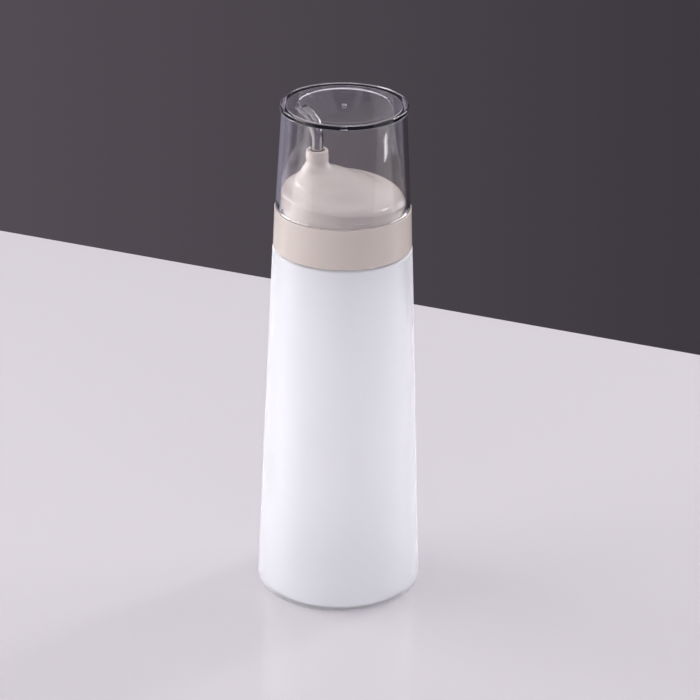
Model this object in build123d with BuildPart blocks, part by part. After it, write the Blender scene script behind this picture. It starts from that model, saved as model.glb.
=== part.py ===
from build123d import *
import os
from math import cos, radians, sin, tan

# Squeeze bottle for sauce: a frosted bottle, a screw collar that clamps a domed nozzle head with a
# bent steel spout, and a clear cover that pushes on over the head.
# Millimetres. +Z up, origin at the middle of the base, the spout's tower leans to -X.

# ---- driving dimensions ----
base_radius = 33.0            # bottle at the floor, before the corner is rounded
bottle_height = 147.3         # floor to shoulder
shoulder_ledge = 0.2          # shoulder standing out past the collar's foot
bottle_wall = 1.2
base_corner = 3.2             # rounding where the wall meets the base
shoulder_corner = 1.2
base_thickness = 1.6
push_up = 1.2                 # height of the hollow under the base
standing_ring_width = 3.0

neck_radius = 24.6            # root of the neck's thread
neck_wall = 1.4
rim_rounding = 0.4

thread_pitch = 4.0
thread_height = 1.0           # neck thread, root to crest
thread_foot = 2.0             # width of the ridge at its root
thread_crest = 1.0            # width of the ridge at its crest
thread_turns = 1.4
ridge_sink = 0.3              # depth of a ridge's foot inside the wall that it grows from
thread_start = 2.2            # neck thread's lower end above the shoulder
thread_play = 0.35            # radial clearance at root and crest
flank_play = 0.15             # axial clearance between the two threads when tight
collar_lead = 0.25            # turns by which the collar's ridge starts after the neck's

collar_height = 16.1
collar_wall = 1.45            # at the foot, outside the thread's bore
collar_top_wall = 1.4         # at the top, outside the room for the head's flange
collar_edge = 0.3
collar_lip = 2.4              # thickness of the lip that holds the head down
collar_step_drop = 1.0        # step from thread bore to flange room, below the neck's top
collar_shoulder_gap = 0.3     # collar above the bottle's shoulder

boss_radius = 24.3            # round foot of the nozzle head, standing out of the collar
boss_rise = 5.7               # upright wall of the boss above the collar's top, at the axis
boss_tilt = 4.6               # degrees that the wall's upper edge climbs towards the tower
head_wall = 1.8
flange_overhang = 0.6         # flange past the neck or the boss, whichever is wider
flange_thickness = 1.9
plug_depth = 4.0              # skirt that centres the head in the bottle's neck
plug_wall = 1.5
running_gap = 0.3             # between parts that turn or slide past each other
seat_gap = 0.1                # between a turning face and its seat

gasket_thickness = 1.2
gasket_gap = 0.1              # gasket to plug skirt, and to neck edge

tower_inset = 13.6            # tower's axis in from the boss's edge
tower_turn = 14.2             # tower's bearing, degrees from -X towards +Y
tower_top_radius = 4.35
tower_root_radius = 4.55
tower_root_height = 19.3      # above the collar's top
tower_height = 22.7           # above the collar's top
tower_rounding = 0.5

tube_outer_radius = 2.4
tube_wall = 0.4
tube_straight = 4.5           # straight run above the tower
tube_bend_radius = 12.0
tube_bend_angle = 50.0
tube_cut_height = 15.5        # middle of the slanted mouth above the tower
tube_cut_angle = 18.0         # mouth's tilt from level
tube_cut_spare = 2.2          # length swept past the mouth's middle and then cut away

sleeve_wall = 0.6             # silicone sleeve between tube and tower
sleeve_fit = 0.02             # squeezed fit of sleeve, valve and retainer
sleeve_below_rim = 1.2
sleeve_length = 6.4
tube_above_sleeve_foot = 0.6

valve_flange_radius = 4.9
valve_flange = 1.2
valve_shelf_drop = 10.2       # shelf that the valve seats against, below the tower's rim
valve_dome_height = 2.0
valve_skin = 0.7
valve_slit_width = 0.2
valve_slit_length = 3.2
valve_dome_gap = 0.15         # valve's dome inside the tower bore
socket_wall = 1.3
retainer_height = 2.8
retainer_bore = 3.3
retainer_chamfer = 0.4

cover_skirt_gap = 0.3         # cover's edge above the collar
cover_headroom = 1.125        # between the spout's mouth and the cover's ceiling
cover_foot_wall = 1.7         # at the edge, outside the bore that grips the boss
cover_draft = 3.1             # degrees
cover_wall = 1.6
cover_fit = 0.55              # cover's skirt around the boss
cover_skirt = 3.0             # straight inner skirt that grips the boss
cover_top = 2.3               # thickness of the top
cover_rim_height = 2.0
cover_rim_stands_out = 0.65
cover_rim_rounding = 0.6
cover_edge = 0.2
ceiling_rounding = 0.3        # inside, where the wall meets the top
cover_recess_radius = 18.3
cover_recess_depth = 0.6
cover_recess_rounding = 0.4
cover_recess_slope = 0.3      # width of the sloped step down into the recess
gate_radius = 0.9
gate_height = 0.2

grip_rib_count = 4
grip_rib_height = 0.3
grip_rib_span = 11.0          # degrees
grip_rib_width = 1.0
grip_rib_bearing = -74.0      # middle of the first rib, degrees from +X
grip_rib_rise = 1.6           # ribs above the collar's top

# ---- heights and places that follow ----
collar_bottom = bottle_height + collar_shoulder_gap
collar_top = collar_bottom + collar_height
flange_top = collar_top - collar_lip - seat_gap
flange_bottom = flange_top - flange_thickness
gasket_bottom = flange_bottom - gasket_thickness
neck_top = gasket_bottom - seat_gap
tower_top = collar_top + tower_height
tower_root = collar_top + tower_root_height
cover_bottom = collar_top + cover_skirt_gap
mouth_half_length = tube_outer_radius / cos(radians(tube_bend_angle - tube_cut_angle))
mouth_rise = mouth_half_length * sin(radians(tube_cut_angle))
mouth_top = tower_top + tube_cut_height + mouth_rise
cover_height = mouth_top + cover_headroom + cover_top - cover_bottom
cover_rim_top = cover_bottom + cover_height
shelf_height = tower_top - valve_shelf_drop
grip_rib_middle = collar_top + grip_rib_rise
tower_shift = boss_radius - tower_inset
toward_tower = Vector(-cos(radians(tower_turn)), sin(radians(tower_turn)), 0)
tower_axis = toward_tower * tower_shift

# ---- radii and lengths that follow ----
neck_bore = neck_radius - neck_wall
plug_radius = neck_bore - running_gap
collar_thread_crest = neck_radius + thread_play
collar_bore = neck_radius + thread_height + thread_play
collar_bottom_radius = collar_bore + collar_wall
shoulder_radius = collar_bottom_radius + shoulder_ledge
flange_radius = max(neck_radius, boss_radius) + flange_overhang
flange_room = flange_radius + running_gap
collar_top_radius = flange_room + collar_top_wall
lip_bore = boss_radius + running_gap
skirt_bore = boss_radius + cover_fit
cover_bottom_radius = skirt_bore + cover_foot_wall
thread_length = thread_turns * thread_pitch
flank_slope = (thread_foot - thread_crest) / (2 * thread_height)
sleeve_radius = tube_outer_radius + sleeve_wall

os.makedirs("parts", exist_ok=True)


def upright_plane(bearing):
    """Plane through the Z axis: local x points along the bearing, local y points up."""
    outward = Vector(cos(radians(bearing)), sin(radians(bearing)), 0)
    return Plane(origin=(0, 0, 0), x_dir=outward, z_dir=outward.cross(Vector(0, 0, 1)))


def shifted_plane(height, shift):
    """Level plane at a height, centred a distance from the bottle's axis towards the tower."""
    centre = toward_tower * shift + Vector(0, 0, height)
    return Plane(origin=centre)


def corner_near(sketch, x, y):
    """Corner of an open sketch that lies nearest to a point of its own plane."""
    return sketch.vertices().sort_by_distance((x, y, 0))[0]


def ridge_corners(root, crest, middle):
    """Corners of a thread ridge on the XZ plane: a trapezoid whose foot is sunk into its wall."""
    sunk_root = root + (root - crest) * ridge_sink / thread_height
    sunk_half = thread_foot / 2 + ridge_sink * flank_slope
    return [
        (sunk_root, middle - sunk_half),
        (crest, middle - thread_crest / 2),
        (crest, middle + thread_crest / 2),
        (sunk_root, middle + sunk_half),
    ]


def dome_plane(foot, step):
    """Plane of one dome section: the boss's tilt fades out on the way to the tower's root."""
    rise, narrowing, lean = step
    tilt = radians(boss_tilt * (1 - narrowing))
    centre = toward_tower * (lean * tower_shift) + Vector(0, 0, foot + rise * dome_height)
    uphill = toward_tower * cos(tilt) + Vector(0, 0, sin(tilt))
    return Plane(origin=centre, x_dir=uphill, z_dir=uphill.cross(toward_tower.cross(Vector(0, 0, 1))))


def dome_radii(foot_radius, step):
    """Long and short radius of one dome section, which looks round from straight above."""
    narrowing = step[1]
    radius = foot_radius - narrowing * dome_taper
    return radius / cos(radians(boss_tilt * (1 - narrowing))), radius


# Plane and line through the tower's axis: local x points away from the bottle's axis.
tower_upright = Plane(origin=tower_axis, x_dir=toward_tower, z_dir=toward_tower.cross(Vector(0, 0, 1)))
tower_line = Axis(origin=tower_axis, direction=(0, 0, 1))


# ---- bottle: blow-moulded, one piece with its shoulder and threaded neck ----
neck_thread_start = bottle_height + thread_start
base_inner = base_radius - bottle_wall
push_up_radius = base_radius - base_corner - standing_ring_width
shoulder_inner = shoulder_radius - bottle_wall

with BuildPart() as bottle:
    with BuildSketch(Plane.XZ) as bottle_outline:
        with BuildLine():
            Polyline(
                (0, push_up),
                (push_up_radius - push_up, push_up),
                (push_up_radius, 0),
                (base_radius, 0),
                (shoulder_radius, bottle_height),
                (neck_radius, bottle_height),
                (neck_radius, neck_top),
                (0, neck_top),
                close=True,
            )
        make_face()
        fillet(corner_near(bottle_outline, base_radius, 0), base_corner)
        fillet(corner_near(bottle_outline, shoulder_radius, bottle_height), shoulder_corner)
        fillet(corner_near(bottle_outline, neck_radius, neck_top), rim_rounding)
    revolve(axis=Axis.Z)
    with BuildSketch(Plane.XZ) as bottle_hollow:
        with BuildLine():
            Polyline(
                (0, push_up + base_thickness),
                (push_up_radius - push_up, push_up + base_thickness),
                (push_up_radius, base_thickness),
                (base_inner, base_thickness),
                (shoulder_inner, bottle_height - bottle_wall),
                (neck_bore, bottle_height - bottle_wall),
                (neck_bore, neck_top),
                (0, neck_top),
                close=True,
            )
        make_face()
        fillet(corner_near(bottle_hollow, base_inner, base_thickness), base_corner - bottle_wall)
    revolve(axis=Axis.Z, mode=Mode.SUBTRACT)
    with BuildLine() as neck_helix:
        Helix(thread_pitch, thread_length, neck_radius, center=(0, 0, neck_thread_start))
    with BuildSketch(Plane.XZ):
        with BuildLine():
            Polyline(*ridge_corners(neck_radius, neck_radius + thread_height, neck_thread_start), close=True)
        make_face()
    sweep(path=neck_helix.line, is_frenet=True)
bottle.part.label = "bottle"
export_step(bottle.part, "parts/bottle.step")


# ---- collar: screws down over the neck and clamps the nozzle head's flange ----
ridge_spacing = (thread_foot + thread_crest) / 2 - thread_play * flank_slope + flank_play
collar_thread_start = neck_thread_start - ridge_spacing + collar_lead * thread_pitch
lip_bottom = collar_top - collar_lip
bore_step = neck_top - collar_step_drop

with BuildPart() as collar:
    with BuildSketch(Plane.XZ) as collar_outline:
        with BuildLine():
            Polyline(
                (collar_bore, collar_bottom),
                (collar_bottom_radius, collar_bottom),
                (collar_top_radius, collar_top),
                (lip_bore, collar_top),
                (lip_bore, lip_bottom),
                (flange_room, lip_bottom),
                (flange_room, bore_step),
                (collar_bore, bore_step),
                close=True,
            )
        make_face()
        fillet(corner_near(collar_outline, collar_bottom_radius, collar_bottom), collar_edge)
        fillet(corner_near(collar_outline, collar_top_radius, collar_top), collar_edge)
    revolve(axis=Axis.Z)
    with BuildLine() as collar_helix:
        Helix(thread_pitch, thread_length, collar_bore, center=(0, 0, collar_thread_start))
    with BuildSketch(Plane.XZ):
        with BuildLine():
            Polyline(*ridge_corners(collar_bore, collar_thread_crest, collar_thread_start), close=True)
        make_face()
    sweep(path=collar_helix.line, is_frenet=True)
collar.part = Rot(0, 0, 360 * collar_lead) * collar.part
collar.part.label = "collar"
export_step(collar.part, "parts/collar.step")


# ---- nozzle head: domed moulding with an off-centre tower, hollow below ----
# The dome is lofted through circles that pass from the boss's size and place to the tower's.
# Each row says how far that change has come, from 0 at the boss to 1 at the tower's root:
# in height, in radius and in shift.
dome_course = [
    (0.0, 0.0, 0.0),
    (0.07, 0.04, 0.0),
    (0.118, 0.1, 0.02),
    (0.165, 0.2, 0.125),
    (0.243, 0.34, 0.275),
    (0.373, 0.5, 0.455),
    (0.497, 0.66, 0.637),
    (0.609, 0.8, 0.796),
    (0.733, 0.944, 0.985),
    (0.81, 0.985, 1.0),
    (1.0, 1.0, 1.0),
]
cavity_course = dome_course[:7]
dome_foot = collar_top + boss_rise
dome_height = tower_root_height - boss_rise
dome_taper = boss_radius - tower_root_radius
cavity_foot = dome_foot - head_wall
tilt_drop = boss_radius * sin(radians(boss_tilt))
upright_top = dome_foot - tilt_drop
cavity_upright_top = cavity_foot - tilt_drop
plug_bore = plug_radius - plug_wall
boss_bore = boss_radius - head_wall
throat_radius = min(plug_bore, boss_bore)
socket_bore = valve_flange_radius + sleeve_fit
socket_bottom = shelf_height - valve_flange - retainer_height
socket_top = shelf_height - valve_flange / 2
tower_bore = sleeve_radius + sleeve_fit
plug_bottom = flange_bottom - plug_depth

with BuildPart() as nozzle_head:
    with BuildSketch(Plane.XY.offset(plug_bottom)):
        Circle(plug_radius)
        Circle(plug_bore, mode=Mode.SUBTRACT)
    extrude(amount=plug_depth)
    with BuildSketch(Plane.XY.offset(flange_bottom)):
        Circle(flange_radius)
    extrude(amount=flange_thickness)
    with BuildSketch(Plane.XY.offset(flange_bottom)):
        Circle(boss_radius)
    extrude(amount=upright_top - flange_bottom)
    with BuildSketch(Plane(origin=(0, 0, upright_top), x_dir=toward_tower)):
        Circle(boss_radius)
    with BuildSketch(dome_plane(dome_foot, dome_course[0])):
        Ellipse(*dome_radii(boss_radius, dome_course[0]))
    loft(ruled=True)
    for step in dome_course:
        with BuildSketch(dome_plane(dome_foot, step)):
            Ellipse(*dome_radii(boss_radius, step))
    loft()
    with BuildSketch(tower_upright) as tower_outline:
        with BuildLine():
            Polyline(
                (0, tower_root),
                (tower_root_radius, tower_root),
                (tower_top_radius, tower_top),
                (0, tower_top),
                close=True,
            )
        make_face()
        fillet(corner_near(tower_outline, tower_top_radius, tower_top), tower_rounding)
    revolve(axis=tower_line)
    # hollow: flange, boss and dome
    with BuildSketch(Plane.XY.offset(flange_bottom)):
        Circle(throat_radius)
    extrude(amount=cavity_upright_top - flange_bottom, mode=Mode.SUBTRACT)
    with BuildSketch(Plane.XY.offset(flange_top)):
        Circle(boss_bore)
    extrude(amount=cavity_upright_top - flange_top, mode=Mode.SUBTRACT)
    with BuildSketch(Plane(origin=(0, 0, cavity_upright_top), x_dir=toward_tower)):
        Circle(boss_bore)
    with BuildSketch(dome_plane(cavity_foot, cavity_course[0])):
        Ellipse(*dome_radii(boss_bore, cavity_course[0]))
    loft(ruled=True, mode=Mode.SUBTRACT)
    for step in cavity_course:
        with BuildSketch(dome_plane(cavity_foot, step)):
            Ellipse(*dome_radii(boss_bore, step))
    loft(ruled=True, mode=Mode.SUBTRACT)
    # valve socket and tower bore
    with BuildSketch(shifted_plane(socket_bottom, tower_shift)):
        Circle(socket_bore + socket_wall)
    extrude(amount=socket_top - socket_bottom)
    with BuildSketch(shifted_plane(socket_bottom, tower_shift)):
        Circle(socket_bore)
    extrude(amount=shelf_height - socket_bottom, mode=Mode.SUBTRACT)
    with BuildSketch(shifted_plane(shelf_height, tower_shift)):
        Circle(tower_bore)
    extrude(amount=tower_top - shelf_height, mode=Mode.SUBTRACT)
    # short ribs around the boss that the cover grips
    for rib in range(grip_rib_count):
        bearing = grip_rib_bearing - grip_rib_span / 2 + rib * 360 / grip_rib_count
        with BuildSketch(upright_plane(bearing)):
            with BuildLine():
                Polyline(
                    (boss_radius - grip_rib_height, grip_rib_middle - grip_rib_width / 2),
                    (boss_radius, grip_rib_middle - grip_rib_width / 2),
                    (boss_radius + grip_rib_height, grip_rib_middle),
                    (boss_radius, grip_rib_middle + grip_rib_width / 2),
                    (boss_radius - grip_rib_height, grip_rib_middle + grip_rib_width / 2),
                    close=True,
                )
            make_face()
        revolve(axis=Axis.Z, revolution_arc=grip_rib_span)
nozzle_head.part.label = "nozzle_head"
export_step(nozzle_head.part, "parts/nozzle_head.step")


# ---- neck gasket: soft ring between the bottle's rim and the head's flange ----
gasket_inner = plug_radius + gasket_gap
gasket_outer = neck_radius - gasket_gap

with BuildPart() as neck_gasket:
    with BuildSketch(Plane.XY.offset(gasket_bottom)):
        Circle(gasket_outer)
        Circle(gasket_inner, mode=Mode.SUBTRACT)
    extrude(amount=gasket_thickness)
neck_gasket.part.label = "neck_gasket"
export_step(neck_gasket.part, "parts/neck_gasket.step")


# ---- anti-drip valve: silicone cap with a cross slit, seated under the tower ----
valve_dome_radius = tower_bore - valve_dome_gap
valve_slit_foot = shelf_height + valve_dome_height - 2 * valve_skin

with BuildPart() as anti_drip_valve:
    with BuildSketch(tower_upright):
        with BuildLine():
            Polyline(
                (valve_dome_radius - valve_skin, shelf_height - valve_flange),
                (valve_flange_radius, shelf_height - valve_flange),
                (valve_flange_radius, shelf_height),
                (valve_dome_radius, shelf_height),
                (valve_dome_radius, shelf_height + valve_dome_height),
                (0, shelf_height + valve_dome_height),
                (0, shelf_height + valve_dome_height - valve_skin),
                (valve_dome_radius - valve_skin, shelf_height + valve_dome_height - valve_skin),
                close=True,
            )
        make_face()
    revolve(axis=tower_line)
    fillet(anti_drip_valve.edges().filter_by(GeomType.CIRCLE).sort_by(Axis.Z)[-1], valve_skin)
    with BuildSketch(shifted_plane(valve_slit_foot, tower_shift)):
        Rectangle(valve_slit_length, valve_slit_width)
        Rectangle(valve_slit_width, valve_slit_length)
    extrude(amount=2 * valve_skin, mode=Mode.SUBTRACT)
anti_drip_valve.part.label = "anti_drip_valve"
export_step(anti_drip_valve.part, "parts/anti_drip_valve.step")


# ---- valve retainer: ring pressed up into the socket below the valve ----
with BuildPart() as valve_retainer:
    with BuildSketch(shifted_plane(socket_bottom, tower_shift)):
        Circle(valve_flange_radius)
        Circle(retainer_bore, mode=Mode.SUBTRACT)
    extrude(amount=retainer_height)
    lower_edges = valve_retainer.edges().filter_by(GeomType.CIRCLE).group_by(Axis.Z)[0]
    chamfer(lower_edges, retainer_chamfer)
valve_retainer.part.label = "valve_retainer"
export_step(valve_retainer.part, "parts/valve_retainer.step")


# ---- tube seal: silicone sleeve that holds the steel spout in the tower ----
sleeve_top = tower_top - sleeve_below_rim
sleeve_foot = sleeve_top - sleeve_length

with BuildPart() as tube_seal:
    with BuildSketch(shifted_plane(sleeve_foot, tower_shift)):
        Circle(sleeve_radius)
        Circle(tube_outer_radius + sleeve_fit, mode=Mode.SUBTRACT)
    extrude(amount=sleeve_length)
tube_seal.part.label = "tube_seal"
export_step(tube_seal.part, "parts/tube_seal.step")


# ---- spout tube: bent steel tube with a slanted mouth ----
tube_foot = sleeve_foot + tube_above_sleeve_foot
tube_run_top = tower_top + tube_straight
bend_end_shift = tube_bend_radius * (1 - cos(radians(tube_bend_angle)))
bend_end_height = tube_run_top + tube_bend_radius * sin(radians(tube_bend_angle))
mouth_height = tower_top + tube_cut_height
tube_end_run = (mouth_height - bend_end_height) / cos(radians(tube_bend_angle)) + tube_cut_spare
mouth_shift = bend_end_shift + (mouth_height - bend_end_height) * tan(radians(tube_bend_angle))
mouth_middle = tower_axis + toward_tower * mouth_shift + Vector(0, 0, mouth_height)
mouth_normal = toward_tower * sin(radians(tube_cut_angle)) + Vector(0, 0, cos(radians(tube_cut_angle)))

with BuildPart() as spout_tube:
    with BuildLine(tower_upright) as tube_path:
        rise = Line((0, tube_foot), (0, tube_run_top))
        bend = JernArc(start=rise @ 1, tangent=rise % 1, radius=tube_bend_radius, arc_size=-tube_bend_angle)
        Line(bend @ 1, bend @ 1 + (bend % 1) * tube_end_run)
    with BuildSketch(shifted_plane(tube_foot, tower_shift)):
        Circle(tube_outer_radius)
        Circle(tube_outer_radius - tube_wall, mode=Mode.SUBTRACT)
    sweep(path=tube_path.wires()[0])
    split(bisect_by=Plane(origin=mouth_middle, z_dir=mouth_normal), keep=Keep.BOTTOM)
spout_tube.part.label = "spout_tube"
export_step(spout_tube.part, "parts/spout_tube.step")


# ---- clear cover: thick-walled cup that pushes down over the boss ----
cover_shrink = tan(radians(cover_draft))
rim_bottom = cover_rim_top - cover_rim_height
wall_top_radius = cover_bottom_radius - (rim_bottom - cover_bottom) * cover_shrink
cover_rim_radius = wall_top_radius + cover_rim_stands_out
skirt_top = cover_bottom + cover_skirt
ceiling = cover_rim_top - cover_top
ceiling_radius = cover_bottom_radius - (ceiling - cover_bottom) * cover_shrink - cover_wall
recess_floor = cover_rim_top - cover_recess_depth

with BuildPart() as clear_cover:
    with BuildSketch(Plane.XZ) as cover_outline:
        with BuildLine():
            Polyline(
                (skirt_bore, cover_bottom),
                (cover_bottom_radius, cover_bottom),
                (wall_top_radius, rim_bottom),
                (cover_rim_radius, rim_bottom),
                (cover_rim_radius, cover_rim_top),
                (cover_recess_radius, cover_rim_top),
                (cover_recess_radius - cover_recess_slope, recess_floor),
                (gate_radius, recess_floor),
                (gate_radius, recess_floor + gate_height),
                (0, recess_floor + gate_height),
                (0, ceiling),
                (ceiling_radius, ceiling),
                (skirt_bore, skirt_top),
                close=True,
            )
        make_face()
        fillet(corner_near(cover_outline, cover_rim_radius, cover_rim_top), cover_rim_rounding)
        fillet(corner_near(cover_outline, cover_rim_radius, rim_bottom), cover_edge)
        fillet(corner_near(cover_outline, ceiling_radius, ceiling), ceiling_rounding)
        fillet(corner_near(cover_outline, cover_recess_radius, cover_rim_top), cover_recess_rounding)
        fillet(corner_near(cover_outline, cover_bottom_radius, cover_bottom), cover_edge)
    revolve(axis=Axis.Z)
clear_cover.part.label = "clear_cover"
export_step(clear_cover.part, "parts/clear_cover.step")
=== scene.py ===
from math import cos, pi, sin

import bpy
from mathutils import Matrix, Vector


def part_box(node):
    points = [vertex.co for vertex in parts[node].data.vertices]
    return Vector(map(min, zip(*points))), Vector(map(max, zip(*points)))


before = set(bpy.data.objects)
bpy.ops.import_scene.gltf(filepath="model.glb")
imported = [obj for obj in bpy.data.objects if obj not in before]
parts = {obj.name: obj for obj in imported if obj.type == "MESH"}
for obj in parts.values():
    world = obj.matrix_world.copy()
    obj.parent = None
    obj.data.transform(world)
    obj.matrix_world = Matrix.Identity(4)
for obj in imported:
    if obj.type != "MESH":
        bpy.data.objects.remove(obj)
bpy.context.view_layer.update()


# ---- bottle ----
# Squeeze bottle, blow-moulded in one piece from milky polyethylene: a tapered body, a rounded
# shoulder and a threaded neck that the collar hides. The thin wall lets light through, and the
# mould leaves a soft skin with a faint unevenness and a slight shine over it.

def grain_group():
    """Fine texture of a moulded surface: a height for bump and a roughness that wanders a little."""
    group = bpy.data.node_groups.new("moulded_grain", "ShaderNodeTree")
    for socket in ("Grains per metre", "Smoothest", "Roughest"):
        group.interface.new_socket(socket, in_out="INPUT", socket_type="NodeSocketFloat")
    for socket in ("Height", "Roughness", "Cloud"):
        group.interface.new_socket(socket, in_out="OUTPUT", socket_type="NodeSocketFloat")
    nodes, links = group.nodes, group.links
    given = nodes.new("NodeGroupInput")
    result = nodes.new("NodeGroupOutput")
    place = nodes.new("ShaderNodeTexCoord")
    grain = nodes.new("ShaderNodeTexNoise")
    grain.inputs["Detail"].default_value = 3.0
    grain.inputs["Roughness"].default_value = 0.55
    cloud = nodes.new("ShaderNodeTexNoise")
    cloud.inputs["Scale"].default_value = 38.0
    cloud.inputs["Detail"].default_value = 2.0
    rough = nodes.new("ShaderNodeMapRange")
    rough.inputs["From Min"].default_value = 0.3
    rough.inputs["From Max"].default_value = 0.7
    links.new(place.outputs["Object"], grain.inputs["Vector"])
    links.new(given.outputs["Grains per metre"], grain.inputs["Scale"])
    links.new(place.outputs["Object"], cloud.inputs["Vector"])
    links.new(cloud.outputs["Fac"], rough.inputs["Value"])
    links.new(given.outputs["Smoothest"], rough.inputs["To Min"])
    links.new(given.outputs["Roughest"], rough.inputs["To Max"])
    links.new(grain.outputs["Fac"], result.inputs["Height"])
    links.new(rough.outputs["Result"], result.inputs["Roughness"])
    links.new(cloud.outputs["Fac"], result.inputs["Cloud"])
    return group


moulded_grain = grain_group()


def moulded_plastic(name, darker, lighter, grains_per_metre, grain_depth, smoothest, roughest):
    """Principled material for a moulded piece, with its grain, colour drift and bump wired up."""
    mat = bpy.data.materials.new(name)
    mat.use_nodes = True
    nodes, links = mat.node_tree.nodes, mat.node_tree.links
    shader = nodes["Principled BSDF"]
    grain = nodes.new("ShaderNodeGroup")
    grain.node_tree = moulded_grain
    grain.inputs["Grains per metre"].default_value = grains_per_metre
    grain.inputs["Smoothest"].default_value = smoothest
    grain.inputs["Roughest"].default_value = roughest
    drift = nodes.new("ShaderNodeMix")
    drift.data_type = "RGBA"
    drift.inputs["A"].default_value = (*darker, 1)
    drift.inputs["B"].default_value = (*lighter, 1)
    bump = nodes.new("ShaderNodeBump")
    bump.inputs["Distance"].default_value = grain_depth
    bump.inputs["Strength"].default_value = 0.35
    links.new(grain.outputs["Cloud"], drift.inputs["Factor"])
    links.new(drift.outputs["Result"], shader.inputs["Base Color"])
    links.new(grain.outputs["Roughness"], shader.inputs["Roughness"])
    links.new(grain.outputs["Height"], bump.inputs["Height"])
    links.new(bump.outputs["Normal"], shader.inputs["Normal"])
    return mat, shader


def let_lamps_through(mat, shader, share):
    """Lets this share of a lamp's light straight through each face, so the shadow stays faint."""
    nodes, links = mat.node_tree.nodes, mat.node_tree.links
    for_shadows = nodes.new("ShaderNodeBsdfTransparent")
    for_shadows.inputs["Color"].default_value = (share, share, share, 1)
    ray = nodes.new("ShaderNodeLightPath")
    choose = nodes.new("ShaderNodeMixShader")
    links.new(ray.outputs["Is Shadow Ray"], choose.inputs["Fac"])
    links.new(shader.outputs["BSDF"], choose.inputs[1])
    links.new(for_shadows.outputs["BSDF"], choose.inputs[2])
    links.new(choose.outputs["Shader"], nodes["Material Output"].inputs["Surface"])


# Light scatters inside the wall more than it bends at the face, so the IOR is a low one.
milky, milky_shader = moulded_plastic(
    "milky_polyethylene",
    darker=(0.86, 0.865, 0.88),
    lighter=(0.865, 0.87, 0.885),
    grains_per_metre=2200.0,
    grain_depth=0.000012,
    smoothest=0.88,
    roughest=1.0,
)
milky_shader.inputs["IOR"].default_value = 1.13
milky_shader.inputs["Coat Weight"].default_value = 0.45
milky_shader.inputs["Coat Roughness"].default_value = 0.06
milky_shader.inputs["Transmission Weight"].default_value = 0.65
let_lamps_through(milky, milky_shader, share=0.6)
parts["bottle"].material_slots[0].material = milky


# ---- collar ----
# Screw collar, injection-moulded in warm beige polypropylene. Its lip holds the nozzle head down
# on the neck, and its outside is plain and satin.
beige, beige_shader = moulded_plastic(
    "beige_polypropylene",
    darker=(0.55, 0.488, 0.448),
    lighter=(0.575, 0.513, 0.473),
    grains_per_metre=2600.0,
    grain_depth=0.00001,
    smoothest=0.15,
    roughest=0.22,
)
beige_shader.inputs["IOR"].default_value = 1.49
beige_shader.inputs["Subsurface Weight"].default_value = 0.15
beige_shader.inputs["Subsurface Radius"].default_value = (0.0030, 0.0024, 0.0020)
beige_shader.inputs["Subsurface Scale"].default_value = 1.0
parts["collar"].material_slots[0].material = beige


# ---- nozzle head and valve retainer ----
# Lopsided dome with an off-centre tower, moulded in the same beige plastic as the collar. The
# retainer is a small ring of that plastic, pressed in below the valve.
for beige_piece in ("nozzle_head", "valve_retainer"):
    parts[beige_piece].material_slots[0].material = beige


# ---- neck gasket, anti-drip valve and tube seal ----
# Soft pieces moulded in translucent white silicone and pressed in by hand: a flat ring under the
# head's flange, a cap with a cross slit below the tower, and a sleeve that grips the steel tube.
silicone, silicone_shader = moulded_plastic(
    "white_silicone",
    darker=(0.78, 0.78, 0.78),
    lighter=(0.82, 0.82, 0.82),
    grains_per_metre=1800.0,
    grain_depth=0.00002,
    smoothest=0.44,
    roughest=0.55,
)
silicone_shader.inputs["IOR"].default_value = 1.41
silicone_shader.inputs["Subsurface Weight"].default_value = 0.3
silicone_shader.inputs["Subsurface Radius"].default_value = (0.0020, 0.0020, 0.0020)
silicone_shader.inputs["Subsurface Scale"].default_value = 1.0
for soft_piece in ("neck_gasket", "anti_drip_valve", "tube_seal"):
    parts[soft_piece].material_slots[0].material = silicone


# ---- spout tube ----
# Thin stainless tube, bent over and cut off at a slant, polished along its length so that fine
# scratches follow it.
steel = bpy.data.materials.new("polished_stainless")
steel.use_nodes = True
nodes, links = steel.node_tree.nodes, steel.node_tree.links
steel_shader = nodes["Principled BSDF"]
steel_shader.inputs["Metallic"].default_value = 1.0
tube_place = nodes.new("ShaderNodeTexCoord")
along_tube = nodes.new("ShaderNodeMapping")
along_tube.inputs["Scale"].default_value = (1.0, 1.0, 0.06)
scratches = nodes.new("ShaderNodeTexNoise")
scratches.inputs["Scale"].default_value = 3200.0
scratches.inputs["Detail"].default_value = 4.0
steel_rough = nodes.new("ShaderNodeMapRange")
steel_rough.inputs["To Min"].default_value = 0.06
steel_rough.inputs["To Max"].default_value = 0.14
steel_tone = nodes.new("ShaderNodeMix")
steel_tone.data_type = "RGBA"
steel_tone.inputs["A"].default_value = (0.42, 0.41, 0.39, 1)
steel_tone.inputs["B"].default_value = (0.52, 0.50, 0.48, 1)
steel_bump = nodes.new("ShaderNodeBump")
steel_bump.inputs["Distance"].default_value = 0.000006
steel_bump.inputs["Strength"].default_value = 0.4
links.new(tube_place.outputs["Object"], along_tube.inputs["Vector"])
links.new(along_tube.outputs["Vector"], scratches.inputs["Vector"])
links.new(scratches.outputs["Fac"], steel_rough.inputs["Value"])
links.new(scratches.outputs["Fac"], steel_tone.inputs["Factor"])
links.new(scratches.outputs["Fac"], steel_bump.inputs["Height"])
links.new(steel_rough.outputs["Result"], steel_shader.inputs["Roughness"])
links.new(steel_tone.outputs["Result"], steel_shader.inputs["Base Color"])
links.new(steel_bump.outputs["Normal"], steel_shader.inputs["Normal"])
parts["spout_tube"].material_slots[0].material = steel


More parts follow.
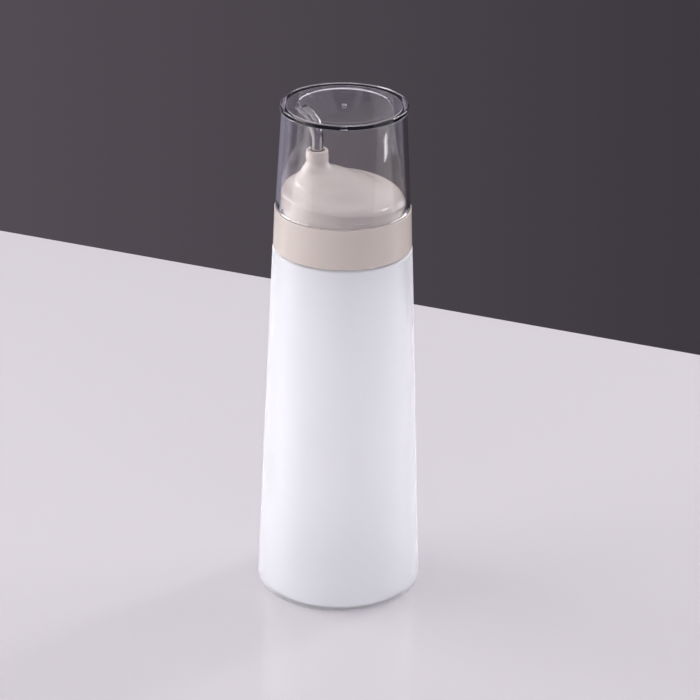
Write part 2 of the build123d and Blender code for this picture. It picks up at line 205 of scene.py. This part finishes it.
# ---- clear cover ----
# Thick-walled cup of clear styrene with a faint violet cast, moulded through the dot in the
# middle of its recessed top. It pushes down over the head's boss.
styrene = bpy.data.materials.new("clear_styrene")
styrene.use_nodes = True
nodes, links = styrene.node_tree.nodes, styrene.node_tree.links
styrene_shader = nodes["Principled BSDF"]
styrene_shader.inputs["Base Color"].default_value = (0.985, 0.985, 0.99, 1)
styrene_shader.inputs["IOR"].default_value = 1.55
styrene_shader.inputs["Transmission Weight"].default_value = 1.0
let_lamps_through(styrene, styrene_shader, share=1.0)
depth_tint = nodes.new("ShaderNodeVolumeAbsorption")
depth_tint.inputs["Color"].default_value = (0.30, 0.26, 0.66, 1)
depth_tint.inputs["Density"].default_value = 14.0
links.new(depth_tint.outputs["Volume"], nodes["Material Output"].inputs["Volume"])

# The moulding nub was snapped off, so its face is rough. Everything else is polished.
nub_reach = 0.00095                                # just past the nub's side
nub_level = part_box("clear_cover")[1][2] - 0.0012   # between the ceiling and the recess's floor
polished = 0.015
snapped_off = 0.75
cup_place = nodes.new("ShaderNodeTexCoord")
cup_axes = nodes.new("ShaderNodeSeparateXYZ")
sideways = nodes.new("ShaderNodeCombineXYZ")
from_axis = nodes.new("ShaderNodeVectorMath")
from_axis.operation = "LENGTH"
near_axis = nodes.new("ShaderNodeMath")
near_axis.operation = "LESS_THAN"
near_axis.inputs[1].default_value = nub_reach
above_ceiling = nodes.new("ShaderNodeMath")
above_ceiling.operation = "GREATER_THAN"
above_ceiling.inputs[1].default_value = nub_level
on_nub = nodes.new("ShaderNodeMath")
on_nub.operation = "MULTIPLY"
cup_rough = nodes.new("ShaderNodeMapRange")
cup_rough.inputs["To Min"].default_value = polished
cup_rough.inputs["To Max"].default_value = snapped_off
links.new(cup_place.outputs["Object"], cup_axes.inputs["Vector"])
links.new(cup_axes.outputs["X"], sideways.inputs["X"])
links.new(cup_axes.outputs["Y"], sideways.inputs["Y"])
links.new(sideways.outputs["Vector"], from_axis.inputs[0])
links.new(from_axis.outputs["Value"], near_axis.inputs[0])
links.new(cup_axes.outputs["Z"], above_ceiling.inputs[0])
links.new(near_axis.outputs["Value"], on_nub.inputs[0])
links.new(above_ceiling.outputs["Value"], on_nub.inputs[1])
links.new(on_nub.outputs["Value"], cup_rough.inputs["Value"])
links.new(cup_rough.outputs["Result"], styrene_shader.inputs["Roughness"])
parts["clear_cover"].material_slots[0].material = styrene


# ---- table ----
# Pale, glossy table top that the bottle stands on, a flat board. Its far edge runs at a slant
# behind the bottle.
edge_slope = -0.418           # far edge, in Y for each metre of X
edge_behind = 0.297           # far edge behind the bottle
near_edge = -0.36
thickness = 0.03


def far_corner(x):
    """Corner of the board on its far edge."""
    return Vector((x, edge_behind + edge_slope * x, 0))


ring = [
    far_corner(-0.20),
    far_corner(1.00),
    Vector((0.80, near_edge, 0)),
    Vector((-0.80, near_edge, 0)),
    Vector((-0.60, 0.05, 0)),
]
corners = [tuple(p) for p in ring] + [tuple(p - Vector((0, 0, thickness))) for p in ring]
count = len(ring)
sides = [tuple(reversed(range(count))), tuple(range(count, 2 * count))]
sides += [(i, (i + 1) % count, count + (i + 1) % count, count + i) for i in range(count)]
table_mesh = bpy.data.meshes.new("table")
table_mesh.from_pydata(corners, [], sides)
table_mesh.update()
table = bpy.data.objects.new("table", table_mesh)
bpy.context.scene.collection.objects.link(table)
table_top = bpy.data.materials.new("table_top")
table_top.use_nodes = True
table_shader = table_top.node_tree.nodes["Principled BSDF"]
table_shader.inputs["Base Color"].default_value = (0.63, 0.605, 0.63, 1)
table_shader.inputs["Roughness"].default_value = 0.05
table_shader.inputs["IOR"].default_value = 1.45
table_mesh.materials.append(table_top)


# ---- studio lamps ----
# Six soft boxes: a large one on the left with a narrower one behind it, a wide one at the right
# and behind with a small one high above it, a dim one far in front, and a tiny strip low on the
# right.
def soft_box(name, place, target, width, height, watts, colour):
    """Rectangular lamp that stands at place and shines at target."""
    light = bpy.data.lights.new(name, "AREA")
    light.shape = "RECTANGLE"
    light.size = width
    light.size_y = height
    light.energy = watts
    light.color = colour
    lamp = bpy.data.objects.new(name, light)
    lamp.location = place
    lamp.rotation_euler = (Vector(target) - Vector(place)).to_track_quat("-Z", "Y").to_euler()
    bpy.context.scene.collection.objects.link(lamp)


warm_white = (1.0, 0.99, 0.98)
mid_height = (0, 0, 0.1)
soft_box(
    "left_box", place=(-1.21, 0.04, 0.41), target=mid_height,
    width=1.3, height=1.0, watts=12.2, colour=warm_white,
)
soft_box(
    "back_left_box", place=(-1.03, 0.62, 0.40), target=mid_height,
    width=0.4, height=0.6, watts=2.6, colour=(0.97, 0.97, 1.0),
)
soft_box(
    "right_box", place=(1.02, 0.54, 0.40), target=mid_height,
    width=1.0, height=0.6, watts=6.2, colour=warm_white,
)
soft_box(
    "front_box", place=(0.35, -2.2, 0.75), target=(0, 0, 0.05),
    width=3.0, height=1.4, watts=9.0, colour=(0.98, 0.98, 1.0),
)
soft_box(
    "glint_box", place=(0.68, 0.57, 1.05), target=(0, 0, 0.17),
    width=0.12, height=0.12, watts=1.8, colour=warm_white,
)
soft_box(
    "low_strip", place=(0.46, -0.085, 0.067), target=(0, 0, 0.19),
    width=0.05, height=0.012, watts=0.010, colour=(1.0, 1.0, 1.0),
)


# ---- room ----
# The room gives an even glow to everything in it. What is seen of it, straight or in a gloss, is
# light grey high up and darker low down, with a dark grey wall behind the table that carries
# painted shade, darker toward its right.
world = bpy.data.worlds.new("room")
bpy.context.scene.world = world
world.use_nodes = True
nodes, links = world.node_tree.nodes, world.node_tree.links
room_glow = nodes["Background"]
room_glow.inputs["Color"].default_value = (0.98, 0.94, 1.0, 1)
room_glow.inputs["Strength"].default_value = 0.70


def soft_step(start, full):
    """Mask that fades in from start to full, on one part of the direction that is looked in."""
    step = nodes.new("ShaderNodeMapRange")
    step.interpolation_type = "SMOOTHSTEP"
    step.inputs["From Min"].default_value = start
    step.inputs["From Max"].default_value = full
    return step


def two_colours(first, second):
    """Mix from the first colour to the second."""
    mix = nodes.new("ShaderNodeMix")
    mix.data_type = "RGBA"
    mix.inputs["A"].default_value = (*first, 1)
    mix.inputs["B"].default_value = (*second, 1)
    return mix


toward = nodes.new("ShaderNodeTexCoord")
toward_axes = nodes.new("ShaderNodeSeparateXYZ")
behind = soft_step(start=-0.02, full=0.20)
right_of_edge = soft_step(start=-0.17, full=-0.115)
low = soft_step(start=0.48, full=0.26)
behind_right = nodes.new("ShaderNodeMath")
behind_right.operation = "MULTIPLY"
on_wall = nodes.new("ShaderNodeMath")
on_wall.operation = "MULTIPLY"
# Painted shade: the wall's grey is blended darker from its left to its right.
wall_shade_across = nodes.new("ShaderNodeMapRange")
wall_shade_across.inputs["From Min"].default_value = -0.10
wall_shade_across.inputs["From Max"].default_value = 0.10
room_colour = two_colours((0.58, 0.55, 0.62), (0.24, 0.22, 0.28))
# Dark grey wall, lighter at the left and darker at the right as painted shade.
wall_with_painted_shade = two_colours((0.086, 0.072, 0.087), (0.049, 0.042, 0.052))
seen_colour = nodes.new("ShaderNodeMix")
seen_colour.data_type = "RGBA"
seen_room = nodes.new("ShaderNodeBackground")
ray = nodes.new("ShaderNodeLightPath")
pick = nodes.new("ShaderNodeMixShader")
links.new(toward.outputs["Generated"], toward_axes.inputs["Vector"])
links.new(toward_axes.outputs["Y"], behind.inputs["Value"])
links.new(toward_axes.outputs["X"], right_of_edge.inputs["Value"])
links.new(toward_axes.outputs["Z"], low.inputs["Value"])
links.new(toward_axes.outputs["X"], wall_shade_across.inputs["Value"])
links.new(behind.outputs["Result"], behind_right.inputs[0])
links.new(right_of_edge.outputs["Result"], behind_right.inputs[1])
links.new(behind_right.outputs["Value"], on_wall.inputs[0])
links.new(low.outputs["Result"], on_wall.inputs[1])
links.new(low.outputs["Result"], room_colour.inputs["Factor"])
links.new(wall_shade_across.outputs["Result"], wall_with_painted_shade.inputs["Factor"])
links.new(room_colour.outputs["Result"], seen_colour.inputs["A"])
links.new(wall_with_painted_shade.outputs["Result"], seen_colour.inputs["B"])
links.new(on_wall.outputs["Value"], seen_colour.inputs["Factor"])
links.new(seen_colour.outputs["Result"], seen_room.inputs["Color"])
links.new(ray.outputs["Is Diffuse Ray"], pick.inputs["Fac"])
links.new(seen_room.outputs["Background"], pick.inputs[1])
links.new(room_glow.outputs["Background"], pick.inputs[2])
links.new(pick.outputs["Shader"], nodes["World Output"].inputs["Surface"])


# ---- camera ----
# Long lens in front of the bottle and above it, looking down by about 24 degrees, with a slight
# tilt. A small sideways shift leaves the bottle just left of the middle.
look_down = 0.422
distance = 1.3456
aim_height = 0.10175
tilt = 0.013
lens = bpy.data.cameras.new("camera")
lens.sensor_width = 36.0
lens.lens = 173.3
lens.shift_x = 0.01268
lens.clip_end = 20.0
camera = bpy.data.objects.new("camera", lens)
stand = Vector((0, -distance * cos(look_down), aim_height + distance * sin(look_down)))
camera.matrix_world = (
    Matrix.Translation(stand)
    @ Matrix.Rotation(pi / 2 - look_down, 4, "X")
    @ Matrix.Rotation(tilt, 4, "Z")
)
bpy.context.scene.collection.objects.link(camera)
bpy.context.scene.camera = camera

bpy.context.scene.view_settings.view_transform = "Standard"
